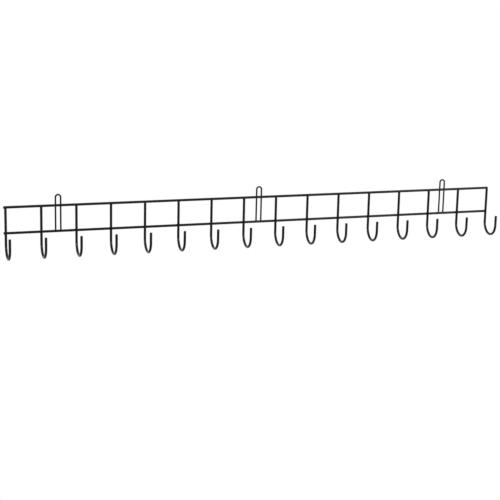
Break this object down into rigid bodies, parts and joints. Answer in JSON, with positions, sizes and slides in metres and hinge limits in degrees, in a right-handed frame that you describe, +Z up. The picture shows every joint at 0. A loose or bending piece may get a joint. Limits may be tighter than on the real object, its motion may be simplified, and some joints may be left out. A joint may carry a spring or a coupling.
{
  "type": "garden tool rack",
  "caption": "Welded steel wire wall rack for long-handled garden tools: a row of J hooks on parallel rails, with hairpin loops behind that go over wall screws.",
  "frame": {"origin": "centre of the middle hanger's round top, in the plane of the wall behind the rack", "axes": "+X along the rails, +Y into the wall, so that the hooks reach out along -Y, +Z up"},
  "size_m": [0.9214, 0.0523, 0.1065],
  "materials": {
    "coated_wire": "black powder coat, semi-gloss"
  },
  "bodies": {
    "root": {"top_rail": "coated_wire", "bottom_rail": "coated_wire", "hook_01": "coated_wire", "hook_02": "coated_wire", "hook_03": "coated_wire", "hook_04": "coated_wire", "hook_05": "coated_wire", "hook_06": "coated_wire", "hook_07": "coated_wire", "hook_08": "coated_wire", "hook_09": "coated_wire", "hook_10": "coated_wire", "hook_11": "coated_wire", "hook_12": "coated_wire", "hook_13": "coated_wire", "hook_14": "coated_wire", "hook_15": "coated_wire", "hook_16": "coated_wire", "hanger_left": "coated_wire", "hanger_middle": "coated_wire", "hanger_right": "coated_wire"}
  },
  "joints": []
}
